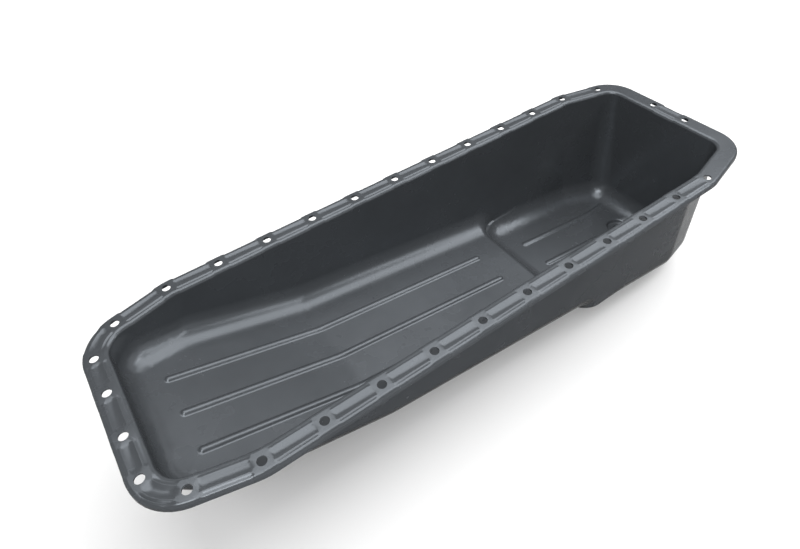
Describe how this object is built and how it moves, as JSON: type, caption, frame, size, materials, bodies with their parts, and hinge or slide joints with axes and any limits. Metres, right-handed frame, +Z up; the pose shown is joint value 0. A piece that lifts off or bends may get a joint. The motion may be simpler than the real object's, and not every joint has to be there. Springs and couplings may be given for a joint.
{
  "type": "engine oil pan",
  "caption": "Deep-drawn steel oil pan with a shallow sloping front, a deep rear sump, pressed bolt flange and drain plug.",
  "frame": {"origin": "centre of the rectangle of the four row-end bolt holes, on the sealing face", "axes": "+X along the pan to the deep sump end, +Y across to the side with the rear chamfer hole, +Z up out of the open side"},
  "size_m": [0.8026, 0.2686, 0.2117],
  "materials": {
    "pan_paint": "satin dark grey dip paint",
    "bung_paint": "satin dark grey dip paint",
    "washer_metal": "soft copper",
    "plug_steel": "zinc plated"
  },
  "bodies": {
    "root": {"oil_pan": "pan_paint", "drain_bung": "bung_paint", "plug_washer": "washer_metal", "drain_plug": "plug_steel"}
  },
  "joints": []
}
